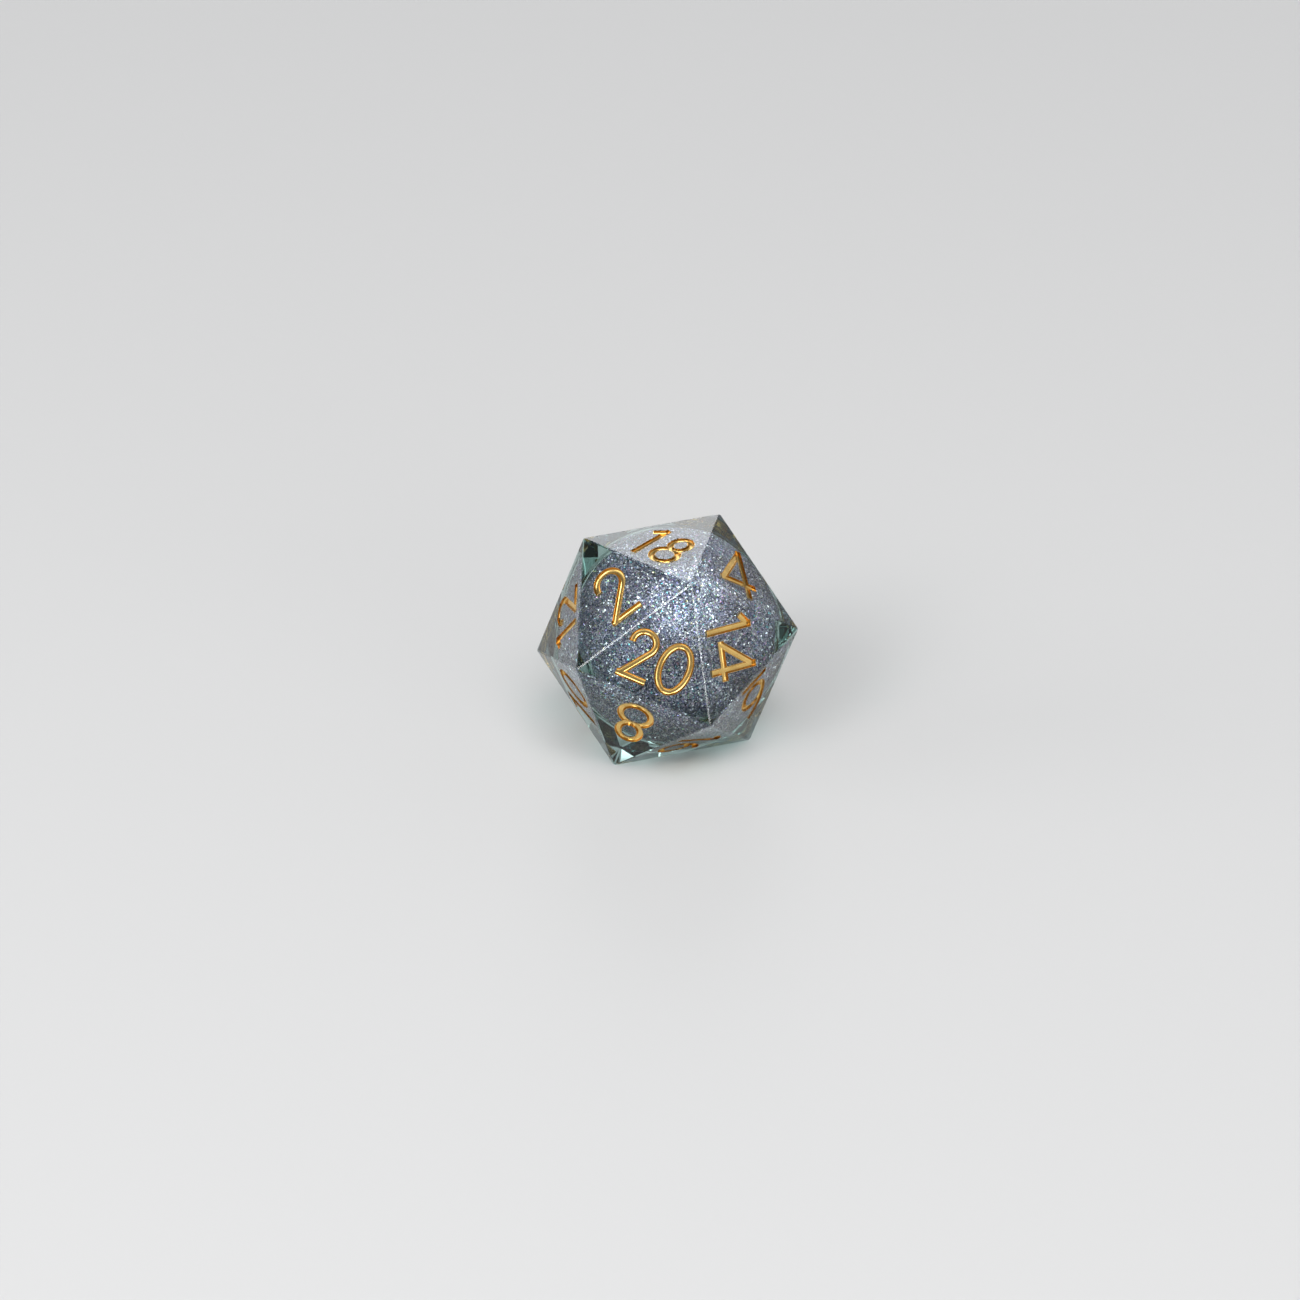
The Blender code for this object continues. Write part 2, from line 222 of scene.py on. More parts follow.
heart_piece = add_piece("glitter_heart", glitter_heart(), heart_finish(), "liquid")
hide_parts("glitter_liquid")
flake_chance = random.Random(FLAKE_SEED)
# Each sort of flake: handfuls, reach, usual tilt in degrees and roughness, then its tints as share, dimmest
# and brightest level, and colour
FLAKE_SORTS = {
    "slate_flakes": (110, 0.00008, 42, 0.42, [
        (5, 0.36, 0.88, (0.76, 0.70, 1.00)),
        (3, 0.40, 0.98, (0.90, 0.77, 1.00)),
    ]),
    "fine_flakes": (150, 0.00006, 58, 0.34, [
        (5, 0.58, 1.00, (0.94, 0.85, 1.00)),
        (3, 0.75, 1.00, (1.00, 0.95, 1.00)),
        (1, 0.40, 1.00, (0.58, 0.88, 1.00)),
        (1, 0.40, 1.00, (0.86, 0.66, 1.00)),
    ]),
    "silver_flakes": (95, 0.00012, 46, 0.20, [
        (5, 0.62, 1.00, (0.92, 0.90, 1.00)),
        (4, 0.85, 1.00, (1.00, 0.97, 1.00)),
    ]),
    "rainbow_flakes": (45, 0.00011, 48, 0.20, [
        (4, 0.40, 1.00, (0.35, 0.85, 0.95)),
        (3, 0.40, 1.00, (0.95, 0.52, 0.80)),
        (4, 0.40, 1.00, (0.60, 0.52, 1.00)),
        (2, 0.40, 1.00, (0.75, 1.00, 0.60)),
        (1, 0.40, 1.00, (1.00, 0.86, 0.55)),
    ]),
}
for sort, (handfuls, reach, tilt, roughness, tints) in FLAKE_SORTS.items():
    foil = flake_finish(sort.replace("flakes", "foil"), roughness)
    cloud = flake_cloud(handfuls, reach, math.radians(tilt), flake_chance)
    flakes = add_piece(sort, cloud, foil, "liquid")
    tint_flakes(flakes, tints, flake_chance)


# Hollow ball. Two clear plastic half shells close round the liquid with a lap joint, and a headed plug shuts
# the fill port underneath. Cast into resin of nearly the same index, the plastic all but vanishes, so its
# index here is the one it has against the resin.
LIP_HEIGHT = 0.0006
LAP_GAP = 0.00004
PORT_RADIUS = 0.0008
BALL_ARC_STEP = math.radians(3)
BALL_TURN_STEPS = 120
SHELL_CREASE = math.radians(40)
WELD_DISTANCE = 1e-7
lap_radius = core_radius - CORE_WALL / 2


def slight_wave():
    """Node group with the normal of a surface that moulding or hand polishing has left a little uneven."""
    group = bpy.data.node_groups.new("slight_wave", "ShaderNodeTree")
    group.interface.new_socket("Scale", in_out="INPUT", socket_type="NodeSocketFloat")
    group.interface.new_socket("Strength", in_out="INPUT", socket_type="NodeSocketFloat")
    group.interface.new_socket("Normal", in_out="OUTPUT", socket_type="NodeSocketVector")
    nodes, links = group.nodes, group.links
    entry = nodes.new("NodeGroupInput")
    coordinates = nodes.new("ShaderNodeTexCoord")
    wave = nodes.new("ShaderNodeTexNoise")
    set_inputs(wave, Detail=1.0)
    links.new(coordinates.outputs["Object"], wave.inputs["Vector"])
    links.new(entry.outputs["Scale"], wave.inputs["Scale"])
    bump = nodes.new("ShaderNodeBump")
    set_inputs(bump, Distance=0.0005)
    links.new(entry.outputs["Strength"], bump.inputs["Strength"])
    links.new(wave.outputs["Fac"], bump.inputs["Height"])
    links.new(bump.outputs["Normal"], nodes.new("NodeGroupOutput").inputs["Normal"])
    return group


uneven_surface = slight_wave()


def clear_finish(name, ior, lamp_tint, wave_scale, wave_strength):
    """Clear plastic that bends light, and lets lamps shine through to what is inside it."""
    material, nodes, links, shader = new_material(name)
    set_inputs(shader, Base_Color=(1, 1, 1, 1), Roughness=0.0, IOR=ior, Transmission_Weight=1.0)
    wave = nodes.new("ShaderNodeGroup")
    wave.node_tree = uneven_surface
    set_inputs(wave, Scale=wave_scale, Strength=wave_strength)
    links.new(wave.outputs["Normal"], shader.inputs["Normal"])
    rays = nodes.new("ShaderNodeLightPath")
    passing = nodes.new("ShaderNodeBsdfTransparent")
    set_inputs(passing, Color=lamp_tint)
    either = nodes.new("ShaderNodeMixShader")
    links.new(rays.outputs["Is Shadow Ray"], either.inputs["Fac"])
    links.new(shader.outputs["BSDF"], either.inputs[1])
    links.new(passing.outputs["BSDF"], either.inputs[2])
    links.new(either.outputs["Shader"], nodes["Material Output"].inputs["Surface"])
    return material, nodes, links, shader, wave


def ball_arc(radius, start, end):
    """Points of a circle about the ball's middle between two latitudes, as (across, height)."""
    steps = max(2, math.ceil(abs(end - start) / BALL_ARC_STEP))
    latitudes = [start + (end - start) * step / steps for step in range(steps + 1)]
    return [(radius * math.cos(latitude), radius * math.sin(latitude)) for latitude in latitudes]


def turned_shell(profile, closed):
    """Solid of revolution about the ball's upright axis."""
    shell = bmesh.new()
    verts = [shell.verts.new((across, 0, height)) for across, height in profile]
    pairs = list(zip(verts, verts[1:]))
    if closed:
        pairs.append((verts[-1], verts[0]))
    outline = [shell.edges.new(pair) for pair in pairs]
    bmesh.ops.spin(
        shell, geom=verts + outline, axis=(0, 0, 1), cent=(0, 0, 0), angle=2 * math.pi,
        steps=BALL_TURN_STEPS, use_merge=True,
    )
    bmesh.ops.remove_doubles(shell, verts=shell.verts, dist=WELD_DISTANCE)
    bmesh.ops.recalc_face_normals(shell, faces=shell.faces)
    bmesh.ops.translate(shell, vec=core_centre, verts=shell.verts)
    for face in shell.faces:
        face.smooth = True
    return shell


lap_clear = LAP_GAP / 2
lip_top = LIP_HEIGHT + LAP_GAP
upper_outline = (
    ball_arc(core_radius, math.pi / 2, 0)[:-1]
    + [(core_radius, lap_clear), (lap_radius + lap_clear, lap_clear), (lap_radius + lap_clear, lip_top)]
    + ball_arc(bore_radius, math.asin(lip_top / bore_radius), math.pi / 2)
)
lower_outline = (
    [(core_radius, -lap_clear)]
    + ball_arc(core_radius, 0, -math.acos(PORT_RADIUS / core_radius))[1:]
    + ball_arc(bore_radius, -math.acos(PORT_RADIUS / bore_radius), math.asin(LIP_HEIGHT / bore_radius))
    + [(lap_radius - lap_clear, LIP_HEIGHT), (lap_radius - lap_clear, -lap_clear)]
)
ball_plastic = clear_finish(
    "clear_ball_plastic", ior=1.02, lamp_tint=(0.96, 0.98, 0.98, 1), wave_scale=420.0, wave_strength=0.04
)[0]
upper_shell = add_piece(
    "core_upper_shell", turned_shell(upper_outline, False), ball_plastic, "die"
)
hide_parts("core_upper_half")
lower_shell = add_piece(
    "core_lower_shell", turned_shell(lower_outline, True), ball_plastic, "die"
)
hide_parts("core_lower_half")
frame["nodes"]["fill_plug"].data.materials.clear()
frame["nodes"]["fill_plug"].data.materials.append(ball_plastic)
for shell_piece in (upper_shell, lower_shell):
    shell_piece.data.set_sharp_from_angle(angle=SHELL_CREASE)


# Clear casting. Both pours of epoxy resin set into one clear, faintly green body, with edges left sharp by
# hand polishing and an engraved numeral on every face. The grooves have steep walls and broad floors.
GOLDEN = (1 + math.sqrt(5)) / 2
EDGE_BREAK = 0.0001
SINGLE_MARGIN = 0.001
PAIR_MARGIN = 0.0014
SINGLE_LIFT = 0.0005
PAIR_DROP = 0.0003
DIGIT_GAP = 0.00035
ONE_BEARING = 0.0004
STROKE_WIDTH = 0.00072
GROOVE_DEPTH = 0.00055
GROOVE_SQUARENESS = 0.55
UNDERLINE_GAP = 0.00025
CUTTER_RISE = 0.0004
FACE_CROWN = 0.04
ARC_STEP = math.radians(7.5)
SECTION_STEPS = 14
face_to_face = cad_high.z - cad_low.z
inradius = face_to_face / 2
edge_length = face_to_face * math.sqrt(3) / GOLDEN ** 2
face_inradius = edge_length / (2 * math.sqrt(3))

# Width of each digit as a share of its own height
DIGIT_ASPECT = {
    "0": 0.66, "1": 0.31, "2": 0.56, "3": 0.56, "4": 0.73,
    "5": 0.57, "6": 0.60, "7": 0.56, "8": 0.61, "9": 0.60,
}

# Corner rings: T top face, U upper belt, L lower belt, B bottom face, then the azimuth in degrees.
# Each number lists its face's corners, first the one that the top of the numeral points to.
NUMBERED_FACES = {
    1: ("B120", "L60", "U120"), 2: ("T180", "U240", "T300"), 3: ("B240", "B0", "B120"),
    4: ("T60", "T300", "U0"), 5: ("T180", "U120", "T60"), 6: ("B0", "U0", "L300"),
    7: ("L180", "B120", "U120"), 8: ("B240", "L300", "U240"), 9: ("U0", "B0", "L60"),
    10: ("L180", "B240", "U240"), 11: ("U0", "L60", "T60"), 12: ("L180", "U240", "T180"),
    13: ("T60", "L60", "U120"), 14: ("U0", "T300", "L300"), 15: ("T180", "U120", "L180"),
    16: ("B0", "L300", "B240"), 17: ("B240", "B120", "L180"), 18: ("T60", "T180", "T300"),
    19: ("B0", "B120", "L60"), 20: ("T300", "U240", "L300"),
}
UNDERLINED = (6, 9)


def corner_points():
    """The twelve corners by name, with the die standing on a face."""
    face_ring = edge_length / math.sqrt(3)
    belt_ring = face_ring * GOLDEN
    belt_rise = inradius / GOLDEN ** 3
    rings = {
        "T": (face_ring, face_to_face, 60), "U": (belt_ring, inradius + belt_rise, 0),
        "L": (belt_ring, inradius - belt_rise, 60), "B": (face_ring, 0, 0),
    }
    points = {}
    for letter, (radius, height, first) in rings.items():
        for azimuth in range(first, 360, 120):
            turn = math.radians(azimuth)
            across = Vector((math.cos(turn), math.sin(turn), 0))
            points[f"{letter}{azimuth}"] = across * radius + Vector((0, 0, height))
    return points


corners = corner_points()


def face_place(corner_names):
    """Matrix of a face: x to the right of its numeral, y to the numeral's top, z out of the die."""
    top, second, third = (corners[name] for name in corner_names)
    middle = (top + second + third) / 3
    outward = (middle - Vector((0, 0, inradius))).normalized()
    upward = (top - middle).normalized()
    place = Matrix((upward.cross(outward), upward, outward)).transposed().to_4x4()
    place.translation = middle
    return place


def arc(centre, radius_x, radius_y, start, end):
    """Points along an ellipse from one angle to another, in degrees, either way round."""
    sweep = math.radians(end - start)
    steps = max(2, math.ceil(abs(sweep) / ARC_STEP))
    angles = [math.radians(start) + sweep * step / steps for step in range(steps + 1)]
    return [(centre[0] + radius_x * math.cos(a), centre[1] + radius_y * math.sin(a)) for a in angles]


def loop(centre, radius_x, radius_y):
    """Points once round an ellipse, from its top and without a second point there."""
    return arc(centre, radius_x, radius_y, 90, 450)[:-1]


def digit_strokes(digit, width, height):
    """Centre lines of a digit's strokes as (points, closed)."""
    half = STROKE_WIDTH / 2
    left, right, base, top = half, width - half, half, height - half
    across, tall = right - left, top - base
    middle = width / 2
    if digit == "0":
        return [(loop((middle, height / 2), across / 2, tall / 2), True)]
    if digit == "1":
        flag_end = (0.8 * left, top - 0.9 * across)
        return [([(right, 0), (right, height)], False), ([(right, top), flag_end], False)]
    if digit == "2":
        bowl = across / 2
        rise = tall - bowl
        lean = math.atan2(rise, bowl) - math.asin(bowl / math.hypot(bowl, rise))
        hook = arc((middle, top - bowl), bowl, bowl, 190, math.degrees(lean) - 90)
        return [(hook + [(left, base)], False), ([(0, base), (width, base)], False)]
    if digit == "3":
        upper, lower = 0.24 * tall, 0.26 * tall
        upper_half, upper_middle = 0.44 * across, middle - 0.03 * across
        waist_end = (middle - 0.22 * across, top - 2 * upper)
        upper_bowl = arc((upper_middle, top - upper), upper_half, upper, 155, -90)
        lower_bowl = arc((middle, base + lower), across / 2, lower, 90, -155)
        return [(upper_bowl + [waist_end], False), (lower_bowl, False)]
    if digit == "4":
        stem, bar = left + 0.78 * across, base + 0.25 * tall
        return [
            ([(stem, 0), (stem, height)], False),
            ([(stem, top), (left, bar)], False),
            ([(0, bar), (width, bar)], False),
        ]
    if digit == "5":
        bowl_rise, stem, bar_end = 0.31 * tall, left + 0.16 * across, width - 0.6 * half
        bowl = arc((middle, base + bowl_rise), across / 2, bowl_rise, 140, -150)
        return [
            (bowl, False),
            ([(stem, top), bowl[0]], False),
            ([(stem - half, top), (bar_end, top)], False),
        ]
    if digit in "69":
        bowl, sweep = 0.3 * tall, 0.95 * across
        strokes = [
            (loop((middle, base + bowl), across / 2, bowl), True),
            (arc((left + sweep, base + bowl), sweep, tall - bowl, 180, 105), False),
        ]
        if digit == "6":
            return strokes
        return [([(width - x, height - y) for x, y in points], closed) for points, closed in strokes]
    if digit == "7":
        turn, foot = right - 0.1 * half, left + 0.25 * across
        return [([(0, top), (width, top)], False), ([(turn, top), (foot, 0)], False)]
    lower, upper, upper_half = 0.265 * tall, 0.235 * tall, 0.36 * across
    return [
        (loop((middle, base + lower), across / 2, lower), True),
        (loop((middle, top - upper), upper_half, upper), True),
    ]


def numeral_layout(number):
    """Digits of a face as (node name, strokes, left, bottom), placed about the face's middle."""
    digits = str(number)
    margin = SINGLE_MARGIN if len(digits) == 1 else PAIR_MARGIN
    height = 2 * (face_inradius - margin)
    widths = [DIGIT_ASPECT[digit] * height for digit in digits]
    gap = DIGIT_GAP + ONE_BEARING * ("1" in digits)
    left = -(sum(widths) + gap * (len(digits) - 1)) / 2
    bottom = -height / 2 + (SINGLE_LIFT if len(digits) == 1 else -PAIR_DROP)
    suffixes = [""] if len(digits) == 1 else ["_tens", "_units"]
    layout = []
    for digit, width, suffix in zip(digits, widths, suffixes):
        layout.append((f"digit_{number}{suffix}", digit_strokes(digit, width, height), left, bottom))
        left += width + gap
    if number in UNDERLINED:
        drop = UNDERLINE_GAP + STROKE_WIDTH / 2
        bar = [([(0, -drop), (widths[0], -drop)], False)]
        layout.append((f"underline_{number}", bar, -widths[0] / 2, bottom))
    return layout


def groove_outline(top, half, depth, squareness):
    """Section of a stroke as (across, height): a half ellipse with steeper walls and a flatter floor."""
    outline = []
    for step in range(SECTION_STEPS + 1):
        angle = math.pi * step / SECTION_STEPS
        across = -half * math.copysign(abs(math.cos(angle)) ** squareness, math.cos(angle))
        outline.append((across, min(top, -depth * math.sin(angle) ** squareness)))
    if top > 0:
        outline = [(-half, top)] + outline + [(half, top)]
    return outline


def evaluated_mesh(source):
    """The object's mesh with its modifiers or bevel applied."""
    graph = bpy.context.evaluated_depsgraph_get()
    mesh = bpy.data.meshes.new_from_object(source.evaluated_get(graph))
    working_mesh = bmesh.new()
    working_mesh.from_mesh(mesh)
    bpy.data.meshes.remove(mesh)
    return working_mesh


def loose_object(name, working_mesh):
    """Object in the scene that only lends its shape to another."""
    mesh = bpy.data.meshes.new(name)
    working_mesh.to_mesh(mesh)
    working_mesh.free()
    new_object = bpy.data.objects.new(name, mesh)
    bpy.context.scene.collection.objects.link(new_object)
    return new_object


def combined(target, others, operation):
    """Mesh of a target joined with or cut by others, which are used up."""
    for other in others:
        modifier = target.modifiers.new(operation.lower(), "BOOLEAN")
        modifier.operation = operation
        modifier.solver = "MANIFOLD"
        modifier.object = other
    working_mesh = evaluated_mesh(target)
    for used in [target] + others:
        bpy.data.objects.remove(used)
    return working_mesh


def swept_strokes(strokes, left, bottom, outline, end_length):
    """One solid from all strokes of a digit, swept with a section in the face's own plane."""
    scene_objects = bpy.context.scene.collection.objects
    section_curve = bpy.data.curves.new("groove_section", "CURVE")
    section_curve.dimensions = "2D"
    section_line = section_curve.splines.new("POLY")
    section_line.points.add(len(outline) - 1)
    for point, (across, height) in zip(section_line.points, outline):
        point.co = (across, height, 0, 1)
    section_line.use_cyclic_u = True
    section = bpy.data.objects.new("groove_section", section_curve)
    scene_objects.link(section)
    swept = []
    for points, closed in strokes:
        path = [Vector(point) for point in points]
        if not closed:
            path[0] += (path[0] - path[1]).normalized() * end_length
            path[-1] += (path[-1] - path[-2]).normalized() * end_length
        curve = bpy.data.curves.new("stroke", "CURVE")
        curve.dimensions = "3D"
        curve.twist_mode = "Z_UP"
        curve.bevel_mode = "OBJECT"
        curve.bevel_object = section
        curve.use_fill_caps = True
        line = curve.splines.new("POLY")
        line.points.add(len(path) - 1)
        for point, (x, y) in zip(line.points, path):
            point.co = (left + x, bottom + y, 0, 1)
        line.use_cyclic_u = closed
        sweep = bpy.data.objects.new("stroke", curve)
        scene_objects.link(sweep)
        working_mesh = evaluated_mesh(sweep)
        bmesh.ops.remove_doubles(working_mesh, verts=working_mesh.verts, dist=WELD_DISTANCE)
        bmesh.ops.recalc_face_normals(working_mesh, faces=working_mesh.faces)
        bpy.data.objects.remove(sweep)
        swept.append(loose_object("stroke", working_mesh))
    bpy.data.objects.remove(section)
    return combined(swept[0], swept[1:], "UNION")


def resin_finish():
    """Clear epoxy with a faint green-blue depth and the slight wave of hand-polished faces."""
    material, nodes, links, shader, polish = clear_finish(
        "clear_resin", ior=1.5, lamp_tint=(0.86, 0.93, 0.92, 1), wave_scale=140.0, wave_strength=0.02
    )
    coordinates = nodes.new("ShaderNodeTexCoord")
    from_middle = nodes.new("ShaderNodeVectorMath")
    from_middle.operation = "DISTANCE"
    from_middle.inputs[1].default_value = (0, 0, inradius)
    links.new(coordinates.outputs["Object"], from_middle.inputs[0])
    crown = nodes.new("ShaderNodeBump")
    crown.invert = True
    set_inputs(crown, Strength=1.0, Distance=FACE_CROWN)
    links.new(from_middle.outputs["Value"], crown.inputs["Height"])
    links.new(polish.outputs["Normal"], crown.inputs["Normal"])
    links.new(crown.outputs["Normal"], shader.inputs["Normal"])
    depth_tint = nodes.new("ShaderNodeVolumeAbsorption")
    set_inputs(depth_tint, Color=(0.62, 0.75, 0.73, 1), Density=175.0)
    links.new(depth_tint.outputs["Volume"], nodes["Material Output"].inputs["Volume"])
    return material


def resin_blank():
    """Solid icosahedron with its sharp edges just broken."""
    blank = bmesh.new()
    for point in corners.values():
        blank.verts.new(point)
    bmesh.ops.convex_hull(blank, input=blank.verts)
    bmesh.ops.bevel(
        blank, geom=blank.edges[:], offset=EDGE_BREAK, segments=1, profile=0.5, affect="EDGES", material=-1
    )
    bmesh.ops.recalc_face_normals(blank, faces=blank.faces)
    return blank


groove_cutters = []
groove_section = groove_outline(CUTTER_RISE, STROKE_WIDTH / 2, GROOVE_DEPTH, GROOVE_SQUARENESS)
for number, corner_names in NUMBERED_FACES.items():
    for name, strokes, left, bottom in numeral_layout(number):
        groove = swept_strokes(strokes, left, bottom, groove_section, 0)
        bmesh.ops.transform(groove, matrix=face_place(corner_names), verts=groove.verts)
        groove_cutters.append(loose_object("groove", groove))
resin_mesh = combined(loose_object("resin_blank", resin_blank()), groove_cutters, "DIFFERENCE")
resin_body = add_piece("resin_body", resin_mesh, resin_finish(), "die")
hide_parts("lower_casting", "upper_casting")


# Gold numerals. Metallic gold paint is wiped into the grooves, pools on their floors and dries hollow, thin
# at the rim and a little below the face. It wets the resin, so it reaches a hair into the walls and leaves
# no air behind it.
PAINT_BITE = 0.00001
PAINT_RIM = 0.00003
PAINT_DIP = 0.00036
PAINT_HOLLOW = 0.70
PAINT_RECESS = 0.00002
PAINT_CREASE = math.radians(35)


def gold_finish():
    """Warm metallic gold paint, lighter on the floor and rim as painted highlight and darker on the walls
    between as painted shade, stepped by groove depth.
    """
    material, nodes, links, shader = new_material("gold_paint")
    set_inputs(shader, Metallic=1.0)
    coordinates = nodes.new("ShaderNodeTexCoord")
    coat = nodes.new("ShaderNodeTexNoise")
    set_inputs(coat, Scale=900.0, Detail=4.0)
    links.new(coordinates.outputs["Object"], coat.inputs["Vector"])
    depth = nodes.new("ShaderNodeAttribute")
    depth.attribute_name = "groove_depth"
    uneven = nodes.new("ShaderNodeMath")
    uneven.operation = "MULTIPLY_ADD"
    uneven.inputs[1].default_value = 0.16
    links.new(coat.outputs["Fac"], uneven.inputs[0])
    links.new(depth.outputs["Fac"], uneven.inputs[2])
    # The ramp steps the gold's colour with groove depth. The lighter rim and floor bands are painted
    # highlight and the darker wall bands are painted shade. A little coat noise is added first.
    depth_shade_and_highlight = nodes.new("ShaderNodeValToRGB")
    bands = depth_shade_and_highlight.color_ramp.elements
    bands[0].position, bands[0].color = 0.12, (0.92, 0.66, 0.26, 1)
    bands[1].position, bands[1].color = 0.94, (0.86, 0.57, 0.19, 1)
    for position, colour in ((0.30, (0.54, 0.30, 0.08, 1)), (0.68, (0.50, 0.27, 0.06, 1))):
        bands.new(position).color = colour
    links.new(uneven.outputs["Value"], depth_shade_and_highlight.inputs["Fac"])
    thickness = nodes.new("ShaderNodeMapRange")
    set_inputs(thickness, **{"From Min": 0.3, "From Max": 0.7, "To Min": 0.80, "To Max": 1.10})
    links.new(coat.outputs["Fac"], thickness.inputs["Value"])
    mottled = nodes.new("ShaderNodeMix")
    mottled.data_type = "RGBA"
    mottled.blend_type = "MULTIPLY"
    set_inputs(mottled, Factor=1.0)
    links.new(depth_shade_and_highlight.outputs["Color"], mottled.inputs["A"])
    links.new(thickness.outputs["Result"], mottled.inputs["B"])
    links.new(mottled.outputs["Result"], shader.inputs["Base Color"])
    dull = nodes.new("ShaderNodeMapRange")
    set_inputs(dull, **{"From Min": 0.3, "From Max": 0.7, "To Min": 0.32, "To Max": 0.17})
    links.new(coat.outputs["Fac"], dull.inputs["Value"])
    links.new(dull.outputs["Result"], shader.inputs["Roughness"])
    grain = nodes.new("ShaderNodeTexNoise")
    set_inputs(grain, Scale=9000.0, Detail=2.0)
    links.new(coordinates.outputs["Object"], grain.inputs["Vector"])
    pigment = nodes.new("ShaderNodeBump")
    set_inputs(pigment, Strength=0.25, Distance=0.00002)
    links.new(grain.outputs["Fac"], pigment.inputs["Height"])
    links.new(pigment.outputs["Normal"], shader.inputs["Normal"])
    return material


gold_paint = gold_finish()
wet_section = groove_outline(
    -PAINT_RECESS, STROKE_WIDTH / 2 + PAINT_BITE, GROOVE_DEPTH + PAINT_BITE, GROOVE_SQUARENESS
)
dry_section = groove_outline(CUTTER_RISE, STROKE_WIDTH / 2 - PAINT_RIM, PAINT_DIP, PAINT_HOLLOW)
for number, corner_names in NUMBERED_FACES.items():
    for name, strokes, left, bottom in numeral_layout(number):
        outside = swept_strokes(strokes, left, bottom, wet_section, PAINT_BITE)
        inside = swept_strokes(strokes, left, bottom, dry_section, -PAINT_RIM)
        film = combined(loose_object("film", outside), [loose_object("hollow", inside)], "DIFFERENCE")
        # Depth into the groove, which the gold's colour ramp turns into painted shade on the walls and
        # painted highlight on the rim and floor.
        depth_layer = film.verts.layers.float.new("groove_depth")
        for vert in film.verts:
            vert[depth_layer] = -vert.co.z / PAINT_DIP
        bmesh.ops.transform(film, matrix=face_place(corner_names), verts=film.verts)
        for face in film.faces:
            face.smooth = True
        numeral = add_piece(name.replace("digit", "gold"), film, gold_paint, "die")
        numeral.data.set_sharp_from_angle(angle=PAINT_CREASE)
        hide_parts(name)


# Stage: a plain pale floor under the die, and a room that clear resin and gold can mirror, with pale walls,
# a dimmer ceiling and front, and a soft glow behind the die whose mirror image lies on the level top face.
FLOOR_DROP = 0.00002
FLOOR_SIZE = 0.9
GLOW_AZIMUTH = 102
GLOW_ELEVATION = 21
GLOW_CORE = math.radians(6)
GLOW_EDGE = math.radians(15)
GLOW_RADIANCE = 3.6
floor_material, _, _, floor_shader = new_material("pale_floor")
set_inputs(floor_shader, Base_Color=(0.63, 0.63, 0.63, 1), Roughness=0.9, Specular_IOR_Level=0.2)
floor_mesh = bmesh.new()
bmesh.ops.create_grid(floor_mesh, x_segments=1, y_segments=1, size=FLOOR_SIZE / 2)
bmesh.ops.translate(floor_mesh, vec=(0, 0, -FLOOR_DROP), verts=floor_mesh.verts)
floor = loose_object("floor", floor_mesh)
floor.data.materials.append(floor_material)

world = bpy.data.worlds.new("pale_surround")
bpy.context.scene.world = world
world.use_nodes = True
sky_nodes, sky_links = world.node_tree.nodes, world.node_tree.links
sky = sky_nodes["Background"]
set_inputs(sky, Color=(0.97, 0.98, 1, 1))


def direction(azimuth, elevation):
    """Unit vector from the die to a side of the room, with both angles in degrees."""
    turn, rise = math.radians(azimuth), math.radians(elevation)
    return Vector((math.cos(turn) * math.cos(rise), math.sin(turn) * math.cos(rise), math.sin(rise)))


def eased(value, low, high, start, end):
    """A value of the room's light eased from one range into another."""
    step = sky_nodes.new("ShaderNodeMapRange")
    step.interpolation_type = "SMOOTHSTEP"
    set_inputs(step, **{"From Min": low, "From Max": high, "To Min": start, "To Max": end})
    sky_links.new(value, step.inputs["Value"])
    return step.outputs["Result"]


def paired(operation, first, second):
    """Two values of the room's light added or multiplied."""
    pair = sky_nodes.new("ShaderNodeMath")
    pair.operation = operation
    sky_links.new(first, pair.inputs[0])
    sky_links.new(second, pair.inputs[1])
    return pair.outputs["Value"]


gaze = sky_nodes.new("ShaderNodeTexCoord").outputs["Generated"]
gaze_parts = sky_nodes.new("ShaderNodeSeparateXYZ")
sky_links.new(gaze, gaze_parts.inputs["Vector"])
walls = eased(gaze_parts.outputs["Z"], low=0.40, high=0.85, start=0.65, end=0.12)
dim_front = eased(gaze_parts.outputs["Y"], low=-0.95, high=-0.35, start=0.35, end=1.0)
toward_glow = sky_nodes.new("ShaderNodeVectorMath")
toward_glow.operation = "DOT_PRODUCT"
toward_glow.inputs[1].default_value = direction(GLOW_AZIMUTH, GLOW_ELEVATION)
sky_links.new(gaze, toward_glow.inputs[0])
glow = eased(
    toward_glow.outputs["Value"],
    low=math.cos(GLOW_EDGE), high=math.cos(GLOW_CORE), start=0.0, end=GLOW_RADIANCE,
)
room = paired("MULTIPLY", walls, dim_front)
sky_links.new(paired("ADD", room, glow), sky.inputs["Strength"])


# Soft studio lamps: the main one overhead, whose mirror images are the sparkles, one in front to the left,
# and two low ones on the right and left. Where the diffuser is thin, the bulb or tube behind it shows as a
# brighter middle, which the broken edges mirror as light lines.
die_centre = Vector((0, 0, inradius))


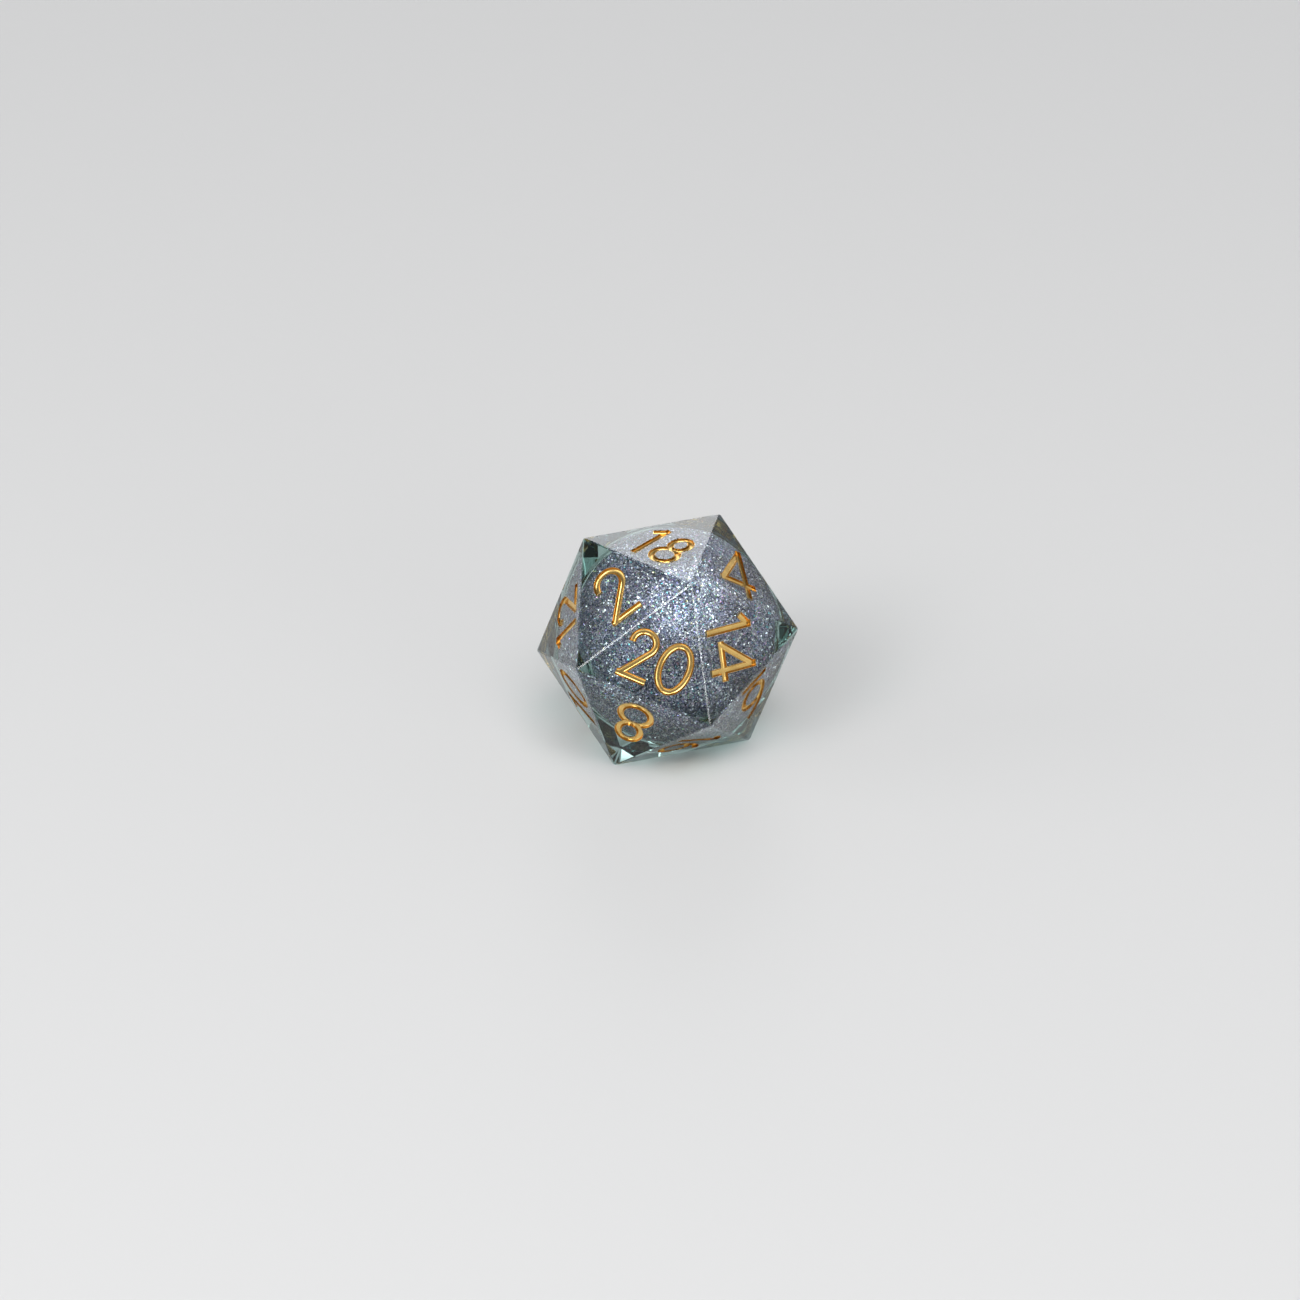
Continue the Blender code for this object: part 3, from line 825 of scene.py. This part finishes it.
def softbox(name, azimuth, elevation, distance, width, height, radiance):
    """Area lamp aimed at the die, with its brightness given as radiance."""
    lamp = bpy.data.lights.new(name, "AREA")
    lamp.shape = "RECTANGLE"
    lamp.size = width
    lamp.size_y = height
    lamp.energy = radiance * math.pi * width * height
    outward = direction(azimuth, elevation)
    holder = bpy.data.objects.new(name, lamp)
    holder.location = die_centre + outward * distance
    holder.rotation_euler = outward.to_track_quat("Z", "Y").to_euler()
    bpy.context.scene.collection.objects.link(holder)


softbox("front_softbox", azimuth=-119.4, elevation=36.6, distance=1.0, width=0.54, height=0.54, radiance=4.0)
softbox("front_bulb", azimuth=-119.4, elevation=36.6, distance=0.98, width=0.20, height=0.24, radiance=6.0)
softbox("overhead_softbox", azimuth=-56, elevation=63, distance=1.2, width=0.68, height=0.68, radiance=6.0)
softbox("right_softbox", azimuth=-44.6, elevation=9.9, distance=1.0, width=0.80, height=0.52, radiance=1.8)
softbox("right_tube", azimuth=-44.4, elevation=9.9, distance=0.98, width=0.03, height=0.14, radiance=4.0)
softbox("left_softbox", azimuth=-165, elevation=14, distance=1.0, width=0.60, height=0.44, radiance=2.4)


# Camera at the photograph's viewing angle: a long lens, above the die and turned a touch about its own axis.
# It aims a little beside the die's middle, so that the die lies in the frame where the photograph has it.
CAMERA_AZIMUTH = -77.66
CAMERA_ELEVATION = 30.26
CAMERA_ROLL = math.radians(1.30)
CAMERA_DISTANCE = 0.8246
LENS = 225.4
NEAREST_SIGHT = 0.05
AIM_RIGHT = -0.00172
AIM_UP = -0.00106
backward = direction(CAMERA_AZIMUTH, CAMERA_ELEVATION)
flat_right = Vector((0, 0, 1)).cross(backward).normalized()
flat_up = backward.cross(flat_right)
camera_right = flat_right * math.cos(CAMERA_ROLL) - flat_up * math.sin(CAMERA_ROLL)
camera_up = flat_up * math.cos(CAMERA_ROLL) + flat_right * math.sin(CAMERA_ROLL)
camera = bpy.data.objects.new("camera", bpy.data.cameras.new("camera"))
bpy.context.scene.collection.objects.link(camera)
camera.data.lens = LENS
camera.data.clip_start = NEAREST_SIGHT
stand = die_centre + camera_right * AIM_RIGHT + camera_up * AIM_UP + backward * CAMERA_DISTANCE
camera_place = Matrix((camera_right, camera_up, backward)).transposed().to_4x4()
camera_place.translation = stand
camera.matrix_world = camera_place
bpy.context.scene.camera = camera
bpy.context.scene.view_settings.view_transform = "Standard"
